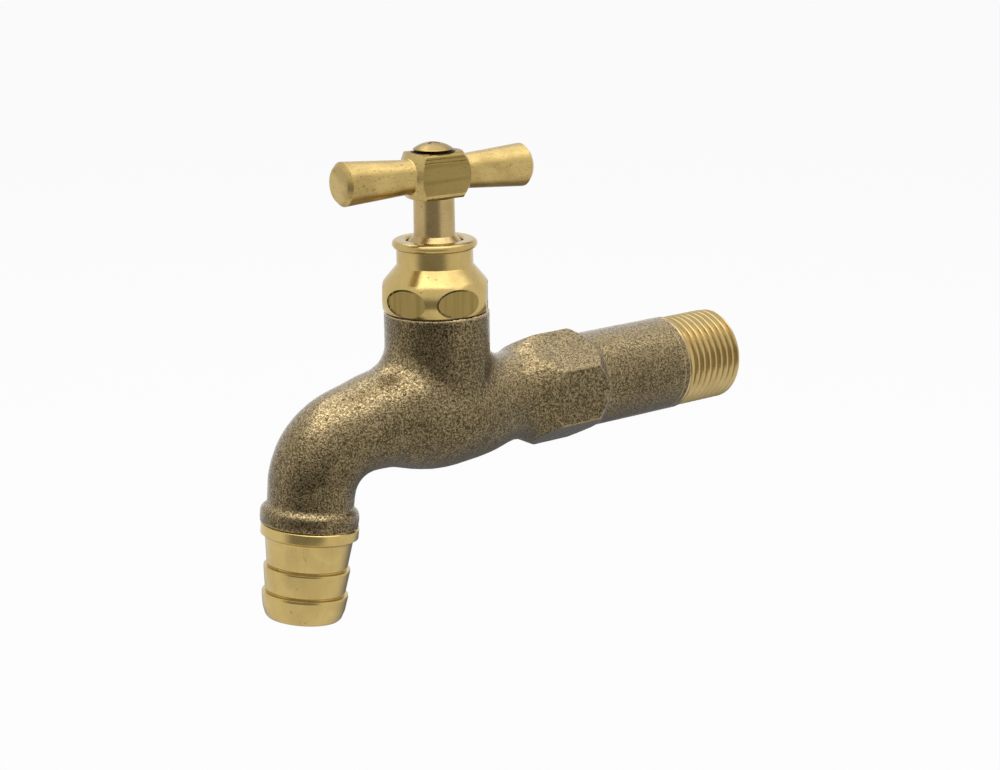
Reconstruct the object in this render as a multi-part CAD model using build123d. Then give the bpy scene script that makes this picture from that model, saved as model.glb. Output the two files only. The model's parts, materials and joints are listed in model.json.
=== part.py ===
from build123d import *
from math import cos, radians, sin, sqrt, tan
import os

os.makedirs("parts", exist_ok=True)

# Long-body tap with a half-inch pipe thread, in millimetres.
# The origin is on the inlet axis, in the gauge plane of the inlet thread. +X points
# out of the threaded end and +Z points up along the valve stem. The tap is closed.

# Inlet: a turned tail with a half-inch pipe thread
THREAD_R = 20.955 / 2
GAUGE_LENGTH = 8.2
THREAD_LENGTH = 15.8
THREAD_CHAMFER = 0.55
BARREL_R = 10.7
INLET_BORE_R = 7.5
REACH = 81.8

# Hexagon for the fitting spanner, with turned ends
HEX_FLATS = 22.0
HEX_ROUGH_START = 19.6
HEX_FULL_START = 27.8
HEX_FULL_END = 36.5
HEX_ROUGH_END = 41.6
HEX_CORNER_CLEARANCE = 0.4
HEX_TURNING_TILT = 1.0
WAIST_X = 19.0
WAIST_R = 9.88

# Cast bowl, neck and spout
BOWL_R = 12.3
NECK_R = 11.35
NECK_SHIFT = 0.25
NECK_TOP = 22.35
NECK_BLEND = 6.6
SPOUT_RISE = 0.4
SPOUT_LEAN = 7.2
SPOUT_START_X = -14.0
SPOUT_END_X = -33.9
SPOUT_END_Z = -18.6
SPOUT_END_R = 9.2
BEAD_R = 10.5
BEAD_LENGTH = 3.7

# Waterway and valve seat
SPOUT_WALL = 2.2
PASSAGE_R = 7.55
CHAMBER_R = 8.6
SEAT_BORE_R = 5.5
SEAT_RING_R = 7.1
SEAT_TOP = 1.9
DECK_TOP = 1.0
DECK_BOTTOM = -1.4
LOWER_CHAMBER_R = 8.2
LOWER_CHAMBER_END = -7.5
INLET_STOP = 10.8
PASSAGE_START = -9.8
HEADWORK_THREAD_R = 9.4
HEADWORK_THREAD_END = 11.5

# Headwork (bonnet)
GASKET_THICKNESS = 0.3
BONNET_SHOULDER = NECK_TOP + GASKET_THICKNESS
BONNET_BOTTOM = 12.4
BONNET_EDGE_R = 11.2
BONNET_BAND_R = 12.0
BONNET_BAND_Z = 25.5
BONNET_CONE_BOTTOM = 28.7
BONNET_CONE_R = 11.3
BONNET_NECK_R = 8.2
BONNET_CONE_TOP = 32.4
BONNET_RIM_BOTTOM = 35.9
BONNET_MOUTH = 37.85
BONNET_RIM_R = 9.1
MOUTH_R = 6.1
STEM_BORE_R = 6.0
STEM_BORE_START = 27.0
WRENCH_FLATS = 6
WRENCH_FLAT_RADIUS = 10.94
WRENCH_FLAT_WIDTH = 9.9
WRENCH_FLAT_HEIGHT = 6.1
WRENCH_FLAT_Z = 25.65
WRENCH_TURN = 18.0

# Stem, valve and packing
RUNNING = 0.05
STEM_NECK_R = 4.37
STEM_COLLAR_R = STEM_BORE_R - RUNNING
STEM_THREAD_R = 6.9
STEM_THREAD_BOTTOM = 12.0
STEM_THREAD_TOP = 21.8
STEM_TAIL_R = 5.6
STEM_SHOULDER_BOTTOM = 37.2
STEM_SHOULDER_TOP = 38.7
ORING_WIRE_R = 0.75
ORING_HEIGHTS = {"lower": 28.1, "upper": 30.6}
WASHER_THICKNESS = 3.0
JUMPER_DISC = 2.0
JUMPER_R = 7.9
JUMPER_PIN_R = 2.9
STUD_R = 2.0
DRIVE_SQUARE = 6.0

# T-handle
HUB_SQUARE = 9.7
HUB_CENTRE = 51.6
HUB_CHAMFER = 0.45
ARM_TURN = -5.0
NEAR_CONE_END = 5.5
FAR_CONE_END = 6.4
ARM_GROOVE_R = 3.35
ARM_ROOT_R = 3.72
ARM_TIP_S = 23.1
ARM_TIP_R = 4.69
ARM_TIP_CHAMFER = 0.95
SCREW_HEAD_R = 4.3
SCREW_HEAD_RIM = 0.6
SCREW_HEAD_HEIGHT = 2.0
SCREW_SEAT_R = 3.3
SCREW_LENGTH = 7.5

# Hose nozzle, measured along its own axis from the top of its flange
FLANGE_R = 10.4
FLANGE_THICKNESS = 2.3
BARB_R = 9.2
BARB_ROOT_R = 8.7
BARBS = (9.0, 14.2)
NOZZLE_LENGTH = 20.15
NOZZLE_END_R = 7.75
NOZZLE_BORE_R = 6.2
NOZZLE_SPIGOT_R = 7.9
NOZZLE_SPIGOT = 7.0
NOZZLE_GASKET = 1.5

HUB_BOTTOM = HUB_CENTRE - HUB_SQUARE / 2
HUB_TOP = HUB_CENTRE + HUB_SQUARE / 2
DRIVE_TOP = HUB_TOP - 1.7
WASHER_TOP = SEAT_TOP + WASHER_THICKNESS
JUMPER_TOP = WASHER_TOP + JUMPER_DISC
VALVE_X = GAUGE_LENGTH - REACH
TO_FRAME = Location((VALVE_X, 0, 0))
SPOUT_DOWN = Vector(-sin(radians(SPOUT_LEAN)), 0, -cos(radians(SPOUT_LEAN)))
SPOUT_END = Vector(SPOUT_END_X, 0, SPOUT_END_Z)


def turned(points, axis=Axis.Z):
    """Turn a closed outline of (along the axis, radius) points about X or Z."""
    if axis == Axis.X:
        corners = [Vector(along, 0, radius) for along, radius in points]
    else:
        corners = [Vector(radius, 0, along) for along, radius in points]
    outline = Polyline(*corners, close=True)
    return revolve(make_face(outline), axis, 360)


def drum(radius, low, high, axis=Axis.Z):
    """A plain cylinder between two places on X or Z."""
    return turned([(low, 0), (low, radius), (high, radius), (high, 0)], axis)


def slab(low, high):
    """A block between two corners."""
    low, high = Vector(*low), Vector(*high)
    size = high - low
    middle = (low + high) * 0.5
    return Pos(middle) * Box(size.X, size.Y, size.Z)


def on_spout_axis(solid):
    """Move a piece built along -Z from the origin onto the leaning outlet axis."""
    return Pos(SPOUT_END) * Rot(0, SPOUT_LEAN, 0) * solid


def spout_centreline():
    """The middle line of the spout, from the bowl over the bend to the outlet."""
    start = Vector(SPOUT_START_X, 0, SPOUT_RISE)
    bend = [(-20.5, 0, 0.1), (-25.7, 0, -1.25), (-30.6, 0, -4.85), (-32.9, 0, -9.6)]
    return Spline(start, *bend, SPOUT_END, tangents=[(-1, 0, 0), SPOUT_DOWN])


def spout_stations():
    """Centre, heading, radius and hump of the spout's sections, from bowl to outlet."""
    line = spout_centreline()
    radii = (10.2, 9.95, 9.75, 9.67, 9.65, 9.62, 9.55, 9.42, 9.3, SPOUT_END_R)
    humps = (1.2, 0.65, 0.05, 0, 0, 0, 0, 0, 0, 0)
    stations = []
    for index, (radius, hump) in enumerate(zip(radii, humps)):
        share = index / (len(radii) - 1)
        stations.append((line.position_at(share), line.tangent_at(share), radius, hump))
    return stations


def bowl_stations():
    """Centre, heading, radius and hump of the bowl's sections, from the waist to the spout."""
    shape = (
        (WAIST_X, WAIST_R, 0.0, 0.0),
        (17.2, WAIST_R + 0.07, 0.0, 0.0),
        (11.5, 11.15, -0.12, -0.6),
        (5.0, 12.0, 0.0, -0.3),
        (-1.5, BOWL_R, 0.0, 0.0),
        (-6.5, 11.8, 0.1, 0.4),
        (-11.0, 10.9, 0.3, 1.6),
    )
    return [(Vector(x, 0, z), Vector(-1, 0, 0), radius, hump) for x, radius, z, hump in shape]


def smooth_loft(stations, narrowing=0.0):
    """One smooth skin through round sections, each raised on its upper side by its hump."""
    sections = []
    for centre, heading, radius, hump in stations:
        plane = Plane(origin=centre, x_dir=(0, 1, 0), z_dir=heading)
        sections.append(plane * Pos(0, -hump / 2) * Circle(radius - narrowing + hump / 2))
    return loft(sections)


def tail():
    """The turned tail: waist, barrel and the plain cylinder that carries the thread."""
    thread_start = REACH - THREAD_LENGTH
    return turned(
        [
            (WAIST_X, 0),
            (WAIST_X, WAIST_R),
            (HEX_ROUGH_START + 1.0, WAIST_R + 0.1),
            (HEX_FULL_START, BARREL_R - 0.1),
            (HEX_FULL_END, BARREL_R),
            (thread_start, BARREL_R),
            (thread_start, THREAD_R),
            (REACH - THREAD_CHAMFER, THREAD_R),
            (REACH, THREAD_R - THREAD_CHAMFER),
            (REACH, 0),
        ],
        Axis.X,
    )


def hexagon():
    """The hexagon, its corners turned away at both ends."""
    length = HEX_ROUGH_END - HEX_ROUGH_START
    middle = (HEX_ROUGH_START + HEX_ROUGH_END) / 2
    corner_r = HEX_FLATS / 2 / cos(radians(30))
    plane = Plane(origin=(HEX_ROUGH_START, 0, 0), x_dir=(0, 1, 0), z_dir=(1, 0, 0))
    bar = extrude(plane * RegularPolygon(corner_r, 6, rotation=30), length)
    flare = [
        (HEX_ROUGH_START - middle, 0),
        (HEX_ROUGH_START - middle, WAIST_R - 0.5),
        (HEX_FULL_START - middle, corner_r + HEX_CORNER_CLEARANCE),
        (HEX_FULL_END - middle, corner_r + HEX_CORNER_CLEARANCE),
        (HEX_FULL_END + 3.3 - middle, HEX_FLATS / 2 + 0.1),
        (HEX_ROUGH_END - middle, BARREL_R - 0.35),
        (HEX_ROUGH_END - middle, 0),
    ]
    return bar & (Pos(middle, 0, 0) * Rot(0, HEX_TURNING_TILT, 0) * turned(flare, Axis.X))


def outlet_bead():
    """The rounded rim cast round the outlet, ending in a flat face for the nozzle."""
    top = ThreePointArc((SPOUT_END_R - 0.1, 0, BEAD_LENGTH), (BEAD_R, 0, BEAD_LENGTH * 0.45),
                        (BEAD_R - 0.35, 0, 0))
    bore = SPOUT_END_R - SPOUT_WALL
    inside = Polyline((BEAD_R - 0.35, 0, 0), (bore, 0, 0), (bore, 0, BEAD_LENGTH),
                      (SPOUT_END_R - 0.1, 0, BEAD_LENGTH))
    return on_spout_axis(revolve(make_face(top + inside), Axis.Z, 360))


def waterway():
    """Everything the water fills: inlet bore, chamber below the seat, chamber above it, spout."""
    inlet = drum(INLET_BORE_R, INLET_STOP, REACH, Axis.X)
    lower = drum(LOWER_CHAMBER_R, LOWER_CHAMBER_END, INLET_STOP + 0.5, Axis.X)
    lower &= slab((-20, -20, -20), (20, 20, DECK_BOTTOM))
    seat_hole = drum(SEAT_BORE_R, DECK_BOTTOM - 1, SEAT_TOP)
    upper = drum(CHAMBER_R, DECK_TOP, HEADWORK_THREAD_END)
    upper -= drum(SEAT_RING_R, DECK_TOP, SEAT_TOP)
    neck_thread = drum(HEADWORK_THREAD_R + RUNNING, HEADWORK_THREAD_END, NECK_TOP)
    crossing = Pos(0, 0, SPOUT_RISE) * drum(PASSAGE_R, PASSAGE_START, 0, Axis.X)
    crossing &= slab((-20, -20, DECK_TOP), (0, 20, 20))
    passage = Pos(0, 0, SPOUT_RISE) * drum(PASSAGE_R, SPOUT_START_X, PASSAGE_START, Axis.X)
    bend = [(centre, heading, radius, 0) for centre, heading, radius, hump in spout_stations()]
    bend[0] = (spout_centreline() @ 0, Vector(-1, 0, 0), PASSAGE_R + SPOUT_WALL, 0)
    spout = smooth_loft(bend, SPOUT_WALL)
    counterbore = on_spout_axis(drum(NOZZLE_SPIGOT_R + RUNNING, -1, NOZZLE_SPIGOT + NOZZLE_GASKET))
    crossing -= drum(SEAT_RING_R, DECK_TOP, SEAT_TOP)
    return [inlet, lower, upper, seat_hole, neck_thread, crossing, passage, spout, counterbore]


def body():
    """The casting: tail, hexagon, bowl, neck and spout in one piece, with the seat inside."""
    bowl = smooth_loft(bowl_stations() + spout_stations())
    neck = Pos(NECK_SHIFT, 0, 0) * drum(NECK_R, 0, NECK_TOP)
    casting = bowl + neck
    root = [
        edge
        for edge in casting.edges().filter_by_position(Axis.X, -NECK_R - 1, NECK_R + 1)
        if 2 < edge.center().Z < 16 and edge.bounding_box().size.Y > 15
    ]
    casting = fillet(root, NECK_BLEND)
    casting = casting + tail() + hexagon() + outlet_bead()
    for space in waterway():
        casting -= space
    return casting


def wrench_flats():
    """Round-ended milled flats, six round the bonnet's band."""
    cutters = []
    for index in range(WRENCH_FLATS):
        turn = WRENCH_TURN + index * 360 / WRENCH_FLATS
        face = Rot(0, 0, turn) * Pos(WRENCH_FLAT_RADIUS, 0, WRENCH_FLAT_Z) * Rot(0, 90, 0)
        cutters.append(extrude(face * Ellipse(WRENCH_FLAT_HEIGHT / 2, WRENCH_FLAT_WIDTH / 2), 4))
    return cutters


def bonnet():
    """Headwork: screwed spigot, bulging band with wrench flats, stuffing neck and rolled rim."""
    band = ThreePointArc((BONNET_EDGE_R, 0, BONNET_SHOULDER), (BONNET_BAND_R, 0, BONNET_BAND_Z),
                         (BONNET_CONE_R, 0, BONNET_CONE_BOTTOM))
    cone = Line((BONNET_CONE_R, 0, BONNET_CONE_BOTTOM), (BONNET_NECK_R, 0, BONNET_CONE_TOP))
    stack = Line((BONNET_NECK_R, 0, BONNET_CONE_TOP), (BONNET_NECK_R, 0, BONNET_RIM_BOTTOM))
    rim_middle = (BONNET_RIM_BOTTOM + BONNET_MOUTH) / 2 - 0.15
    rim = ThreePointArc((BONNET_NECK_R, 0, BONNET_RIM_BOTTOM), (BONNET_RIM_R, 0, rim_middle),
                        (BONNET_NECK_R - 0.2, 0, BONNET_MOUTH))
    inside = Polyline(
        (BONNET_NECK_R - 0.2, 0, BONNET_MOUTH),
        (MOUTH_R + 0.3, 0, BONNET_MOUTH),
        (MOUTH_R, 0, BONNET_MOUTH - 0.3),
        (MOUTH_R, 0, BONNET_MOUTH - 1.2),
        (STEM_BORE_R, 0, BONNET_MOUTH - 1.3),
        (STEM_BORE_R, 0, STEM_BORE_START),
        (STEM_THREAD_R + RUNNING, 0, STEM_BORE_START),
        (STEM_THREAD_R + RUNNING, 0, BONNET_BOTTOM),
        (HEADWORK_THREAD_R - 0.7, 0, BONNET_BOTTOM),
        (HEADWORK_THREAD_R, 0, BONNET_BOTTOM + 0.7),
        (HEADWORK_THREAD_R, 0, BONNET_SHOULDER),
        (BONNET_EDGE_R, 0, BONNET_SHOULDER),
    )
    shape = revolve(make_face(band + cone + stack + rim + inside), Axis.Z, 360)
    for cutter in wrench_flats():
        shape -= cutter
    return shape


def bonnet_gasket():
    """Flat fibre ring between the neck and the bonnet's shoulder."""
    outside = drum(BONNET_EDGE_R - 0.25, NECK_TOP, BONNET_SHOULDER)
    return outside - drum(HEADWORK_THREAD_R + RUNNING, NECK_TOP, BONNET_SHOULDER)


def stem():
    """Rising stem: tail with the jumper's socket, thread, packing collar, neck and square drive."""
    groove_r = STEM_COLLAR_R - 2 * ORING_WIRE_R
    groove_half = ORING_WIRE_R + 0.15
    outline = [
        (JUMPER_TOP, JUMPER_PIN_R + RUNNING),
        (JUMPER_TOP, STEM_TAIL_R - 0.5),
        (JUMPER_TOP + 0.5, STEM_TAIL_R),
        (STEM_THREAD_BOTTOM, STEM_TAIL_R),
        (STEM_THREAD_BOTTOM, STEM_THREAD_R - 0.6),
        (STEM_THREAD_BOTTOM + 0.6, STEM_THREAD_R),
        (STEM_THREAD_TOP - 0.6, STEM_THREAD_R),
        (STEM_THREAD_TOP, STEM_THREAD_R - 0.6),
        (STEM_THREAD_TOP, STEM_COLLAR_R),
    ]
    for height in ORING_HEIGHTS.values():
        outline += [
            (height - groove_half, STEM_COLLAR_R),
            (height - groove_half, groove_r),
            (height + groove_half, groove_r),
            (height + groove_half, STEM_COLLAR_R),
        ]
    outline += [
        (STEM_SHOULDER_BOTTOM, STEM_COLLAR_R),
        (STEM_SHOULDER_TOP, STEM_NECK_R),
        (HUB_BOTTOM, STEM_NECK_R),
        (HUB_BOTTOM, 0),
        (JUMPER_TOP + 9, 0),
        (JUMPER_TOP + 9, JUMPER_PIN_R + RUNNING),
    ]
    drive_corner = Pos(0, 0, HUB_BOTTOM) * Cylinder(STEM_NECK_R - 0.4, DRIVE_TOP - HUB_BOTTOM,
                                                    align=(Align.CENTER, Align.CENTER, Align.MIN))
    drive = slab((-DRIVE_SQUARE / 2, -DRIVE_SQUARE / 2, HUB_BOTTOM),
                 (DRIVE_SQUARE / 2, DRIVE_SQUARE / 2, DRIVE_TOP)) & drive_corner
    tapping = drum(STUD_R + RUNNING, DRIVE_TOP - SCREW_LENGTH, DRIVE_TOP)
    return turned(outline) + Rot(0, 0, ARM_TURN) * drive - tapping


def oring(height):
    """Rubber ring in one of the stem's packing grooves."""
    centre_r = STEM_COLLAR_R - ORING_WIRE_R + RUNNING / 2
    return Pos(0, 0, height) * Torus(centre_r, ORING_WIRE_R)


def jumper():
    """Valve disc: a cup over the washer, a pin up into the stem and a stud down for the nut."""
    return turned(
        [
            (SEAT_TOP - 3.4, 0),
            (SEAT_TOP - 3.4, STUD_R - 0.3),
            (SEAT_TOP - 3.1, STUD_R),
            (WASHER_TOP, STUD_R),
            (WASHER_TOP, JUMPER_R - 0.6),
            (WASHER_TOP - 1.1, JUMPER_R - 0.6),
            (WASHER_TOP - 1.1, JUMPER_R),
            (JUMPER_TOP - 0.5, JUMPER_R),
            (JUMPER_TOP, JUMPER_R - 0.5),
            (JUMPER_TOP, JUMPER_PIN_R),
            (JUMPER_TOP + 8, JUMPER_PIN_R),
            (JUMPER_TOP + 8.5, JUMPER_PIN_R - 0.5),
            (JUMPER_TOP + 8.5, 0),
        ]
    )


def seat_washer():
    """Rubber washer that closes on the seat."""
    ring = drum(JUMPER_R - 0.65, SEAT_TOP, WASHER_TOP)
    return ring - drum(STUD_R + RUNNING, SEAT_TOP, WASHER_TOP)


def washer_nut():
    """Small hexagon nut that holds the washer on the jumper."""
    thickness = 2.4
    face = Plane.XY.offset(SEAT_TOP - thickness) * RegularPolygon(3.5, 6, major_radius=False)
    bar = extrude(face, thickness)
    return bar - drum(STUD_R + RUNNING, SEAT_TOP - thickness, SEAT_TOP)


def handle_arm(cone_end):
    """Half of the turned bar: the cone that trims the hub's end, a groove and a flared arm."""
    half = HUB_SQUARE / 2
    corner = half * sqrt(2)
    return turned(
        [
            (0, 0),
            (0, corner + 0.2),
            (4.25, corner + 0.2),
            (cone_end, half),
            (cone_end + 0.35, half - 0.75),
            (cone_end + 0.45, ARM_GROOVE_R),
            (6.95, ARM_GROOVE_R),
            (7.2, ARM_ROOT_R),
            (ARM_TIP_S - ARM_TIP_CHAMFER, ARM_TIP_R),
            (ARM_TIP_S, ARM_TIP_R - ARM_TIP_CHAMFER),
            (ARM_TIP_S, 0),
        ],
        Axis.X,
    )


def handle():
    """T-handle turned from square bar: a square hub with coned ends and two flared arms."""
    bar = handle_arm(FAR_CONE_END) + handle_arm(NEAR_CONE_END).mirror(Plane.YZ)
    square = Box(2 * ARM_TIP_S + 1, HUB_SQUARE, HUB_SQUARE)
    square = chamfer(square.edges().filter_by(Axis.X), HUB_CHAMFER)
    shape = Pos(0, 0, HUB_CENTRE) * (bar & square)
    socket = DRIVE_SQUARE / 2 + RUNNING
    shape -= slab((-socket, -socket, HUB_BOTTOM), (socket, socket, DRIVE_TOP))
    shape -= drum(STUD_R + 0.2, DRIVE_TOP, HUB_TOP)
    return Rot(0, 0, ARM_TURN) * shape


def handle_screw():
    """Domed cross-head screw down the middle of the hub."""
    rim = HUB_TOP + SCREW_HEAD_RIM
    top = HUB_TOP + SCREW_HEAD_HEIGHT
    shoulder = (SCREW_HEAD_R * 0.55, 0, rim + (top - rim) * 0.76)
    dome = ThreePointArc((SCREW_HEAD_R, 0, rim), shoulder, (0, 0, top))
    rest = Polyline(
        (0, 0, top),
        (0, 0, HUB_TOP - SCREW_LENGTH),
        (STUD_R - 0.3, 0, HUB_TOP - SCREW_LENGTH),
        (STUD_R, 0, HUB_TOP - SCREW_LENGTH + 0.3),
        (STUD_R, 0, HUB_TOP),
        (SCREW_SEAT_R, 0, HUB_TOP),
        (SCREW_SEAT_R + 0.15, 0, rim - 0.2),
        (SCREW_HEAD_R, 0, rim),
    )
    screw = revolve(make_face(dome + rest), Axis.Z, 360)
    for turn in (0, 90):
        screw -= Rot(0, 0, 20 + turn) * Pos(0, 0, top) * Box(3.6, 0.75, 2.0)
    return screw


def hose_nozzle():
    """Barbed hose nozzle, screwed into the outlet."""
    first, second = BARBS
    outline = [
        (NOZZLE_SPIGOT, NOZZLE_BORE_R),
        (NOZZLE_SPIGOT, NOZZLE_SPIGOT_R - 0.5),
        (NOZZLE_SPIGOT - 0.5, NOZZLE_SPIGOT_R),
        (0, NOZZLE_SPIGOT_R),
        (0, FLANGE_R - 0.3),
        (-0.3, FLANGE_R),
        (-FLANGE_THICKNESS, FLANGE_R),
        (-FLANGE_THICKNESS - 0.9, BARB_R + 0.25),
        (-FLANGE_THICKNESS - 1.3, BARB_R + 0.1),
        (-first + 0.45, BARB_ROOT_R + 0.05),
        (-first, BARB_R),
        (-first - 0.5, BARB_R),
        (-second + 0.45, BARB_ROOT_R),
        (-second, BARB_R - 0.05),
        (-second - 0.5, BARB_R - 0.05),
        (-NOZZLE_LENGTH + 2.2, NOZZLE_END_R + 1.0),
        (-NOZZLE_LENGTH + 0.7, NOZZLE_END_R + 0.5),
        (-NOZZLE_LENGTH, NOZZLE_END_R),
        (-NOZZLE_LENGTH, NOZZLE_BORE_R),
    ]
    return on_spout_axis(turned(outline))


def nozzle_gasket():
    """Flat rubber ring between the nozzle's spigot and the shoulder inside the spout."""
    low, high = NOZZLE_SPIGOT, NOZZLE_SPIGOT + NOZZLE_GASKET
    return on_spout_axis(drum(NOZZLE_SPIGOT_R, low, high) - drum(NOZZLE_BORE_R + 0.3, low, high))


PIECES = {
    "body": body,
    "bonnet": bonnet,
    "bonnet_gasket": bonnet_gasket,
    "stem": stem,
    "stem_oring_lower": lambda: oring(ORING_HEIGHTS["lower"]),
    "stem_oring_upper": lambda: oring(ORING_HEIGHTS["upper"]),
    "jumper_valve": jumper,
    "seat_washer": seat_washer,
    "washer_nut": washer_nut,
    "handle": handle,
    "handle_screw": handle_screw,
    "hose_nozzle": hose_nozzle,
    "nozzle_gasket": nozzle_gasket,
}

for name, build in PIECES.items():
    piece = TO_FRAME * build()
    export_step(piece, f"parts/{name}.step")
    print(name, len(piece.solids()), round(piece.volume, 1))
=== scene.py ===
import json
from math import atan2, cos, exp, hypot, pi, radians, sin, tan

import bmesh
import bpy
from mathutils import Matrix, Vector, noise
from mathutils.bvhtree import BVHTree


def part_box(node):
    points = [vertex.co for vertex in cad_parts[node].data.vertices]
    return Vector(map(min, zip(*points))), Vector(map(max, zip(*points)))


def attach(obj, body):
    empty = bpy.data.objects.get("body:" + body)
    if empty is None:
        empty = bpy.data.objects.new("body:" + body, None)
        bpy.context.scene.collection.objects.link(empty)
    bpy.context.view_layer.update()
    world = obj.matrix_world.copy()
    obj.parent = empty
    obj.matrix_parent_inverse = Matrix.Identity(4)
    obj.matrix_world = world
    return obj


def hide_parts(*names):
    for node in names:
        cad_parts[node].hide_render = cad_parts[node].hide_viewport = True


bl_info = {
    "name": "Long-body tap",
    "version": (1, 0, 0),
    "blender": (4, 5, 0),
    "location": "3D View > Sidebar > Tap",
    "description": "Dresses a long-body tap's frame: cast body, thread, headwork, handle and nozzle",
    "category": "Add Mesh",
}

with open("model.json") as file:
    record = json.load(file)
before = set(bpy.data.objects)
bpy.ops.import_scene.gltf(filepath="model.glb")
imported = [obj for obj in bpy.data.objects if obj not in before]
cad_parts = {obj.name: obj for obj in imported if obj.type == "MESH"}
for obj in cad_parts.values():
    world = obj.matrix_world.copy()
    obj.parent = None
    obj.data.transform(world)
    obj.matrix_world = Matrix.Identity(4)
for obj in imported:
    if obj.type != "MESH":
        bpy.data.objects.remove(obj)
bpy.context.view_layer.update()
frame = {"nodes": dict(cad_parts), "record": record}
MM = 0.001

# Depth of the hose barb's mount below the outlet, in millimetres
NOZZLE_DROP = 19.15

# Places read from the frame, in millimetres
VALVE_X = (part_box("stem")[0].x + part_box("stem")[1].x) / 2 / MM
INLET_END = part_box("body")[1].x / MM
NECK_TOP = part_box("bonnet_gasket")[0].z / MM
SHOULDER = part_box("bonnet_gasket")[1].z / MM
HUB_CENTRE = (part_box("handle")[0].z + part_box("handle")[1].z) / 2 / MM
RIM_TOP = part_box("bonnet")[1].z / MM
STEM_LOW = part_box("stem")[0].z / MM
DRIVE_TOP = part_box("stem")[1].z / MM
SCREW_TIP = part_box("handle_screw")[0].z / MM
MOUNTS = {mount["name"]: mount for mount in frame["record"]["mounts"]}
NOZZLE_DOWN = Vector(MOUNTS["hose_barb"]["axis"])
OUTLET = Vector(MOUNTS["hose_barb"]["pos_m"]) / MM - NOZZLE_DOWN * NOZZLE_DROP
THREAD_CREST = MOUNTS["inlet_thread"]["dims"]["r_mm"]

# Sizes of the cast body, in millimetres
BORE_R = 7.5
BARREL_R = 10.7
HEX_END = 40.75
HEX_END_LEAN = 0.0175
SMOOTHING_PASSES = 3
FOLLOWED_SHARE = 0.9
RELIEF_FADE = 0.8
THREAD_PIECE = 18.0
THREAD_LENGTH = 15.1
THREAD_DEPTH = 0.9
THREAD_STEPS = 180
THREAD_POINTS = 16

# Radius of the rim round the outlet at heights above its face, and its casting's shift to one side
BEAD_SHIFT = Vector((-0.2, 0.16, 0.0))
BEAD = (
    (0, 10.05), (0.4, 10.3), (1.4, 10.42), (2.6, 10.38), (3.2, 10.22), (3.6, 9.95), (3.95, 9.5),
    (4.25, 9.22), (4.7, 9.12), (5.5, 9.17), (10.5, 9.2),
)

# Sizes of the turned and milled parts, in millimetres
ROUND_STEPS = 240
CLEARANCE = 0.03
BONNET_FOOT = 12.4
BONNET_SPIGOT_R = 9.4
BONNET_BORE_R = 6.0
BONNET_BORE_START = 27.0
CONE_TOP = (10.4, 29.77)
FLAT_COUNT = 6
FLAT_TURN = 18.0
FLAT_REACH = 10.94
FLAT_HALF_WIDTH = 4.95
FLAT_SLIMNESS = 0.62
FLAT_MIDDLE = 25.65
POCKET_RIM = 0.45
DRIVE_HALF = 3.0
DRIVE_PLAY = 0.05
STEM_THREAD_R = 6.9
STEM_COLLAR_R = 5.95
RING_GROOVE_R = 4.45
RING_HEIGHTS = (28.1, 30.6)
HUB_SQUARE = 9.7
HUB_TOP = HUB_CENTRE + HUB_SQUARE / 2
HUB_BOTTOM = HUB_CENTRE - HUB_SQUARE / 2
# Radius of the painted shadow round the screw on the hub's top
HUB_SHADOW_R = 5.0
BAR_TURN = -5.0
SCREW_HEAD_R = 4.3
SCREW_CROWN = 2.0
SCREW_TURN = 20.0

# Studio, as seen in the photograph
CAMERA_PLACE = (-357.06, -376.14, 126.46)
CAMERA_AZIMUTH = -38.655
CAMERA_ELEVATION = 14.402
CAMERA_ROLL = -0.58
CAMERA_LENS = 81.03
FLOOR_HEIGHT = -125.0
STUDIO_CENTRE = (-50.0, 0.0, 10.0)
WHITE_SHARE = 0.93
SCREEN_TURN = -10.0
SCREEN_RADIUS = 330.0
SCREEN_TOP = 142.0
# Dark card under the tap: a painted shadow of the floor beneath it, seen only in reflections
CARD_CENTRE = (60.0, 150.0)
CARD_RADIUS = 260.0
LAMP_HEIGHT = 700.0
WORLD_STRENGTH = 0.32
SCREEN_GLOW = 0.31
CARD_GLOW = 0.22

# Lamps overhead: left, right, near and far edge in mm from the tap, and radiance
LAMPS = {
    "front_lamp": (-428, 323, -370, 0, 2.0),
    "left_lamp": (-428, -160, 0, 700, 2.0),
    "back_lamp": (-160, 323, 0, 700, 0.9),
    "right_lamp": (323, 680, -370, 350, 1.2),
}


class TapSizes(bpy.types.PropertyGroup):
    """Sizes that a user may change without touching the frame."""

    thread_pitch: bpy.props.FloatProperty(
        name="Thread pitch", description="Distance between two crests of the inlet thread",
        default=1.814 * MM, unit="LENGTH", precision=4)
    voxel: bpy.props.FloatProperty(
        name="Casting fineness", description="Edge length of the casting's faces",
        default=0.47 * MM, unit="LENGTH", precision=4)
    cast_relief: bpy.props.FloatProperty(
        name="Cast relief", description="Height of the casting's low bumps",
        default=0.05 * MM, unit="LENGTH", precision=5)
    grain: bpy.props.FloatProperty(
        name="Cast grain", description="Size of the sand grain printed in the casting's skin",
        default=0.43 * MM, unit="LENGTH", precision=4)


def tint(name, description, default):
    """A colour that a user may change."""
    return bpy.props.FloatVectorProperty(
        name=name, description=description, default=default, subtype="COLOR", min=0, max=1)


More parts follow.
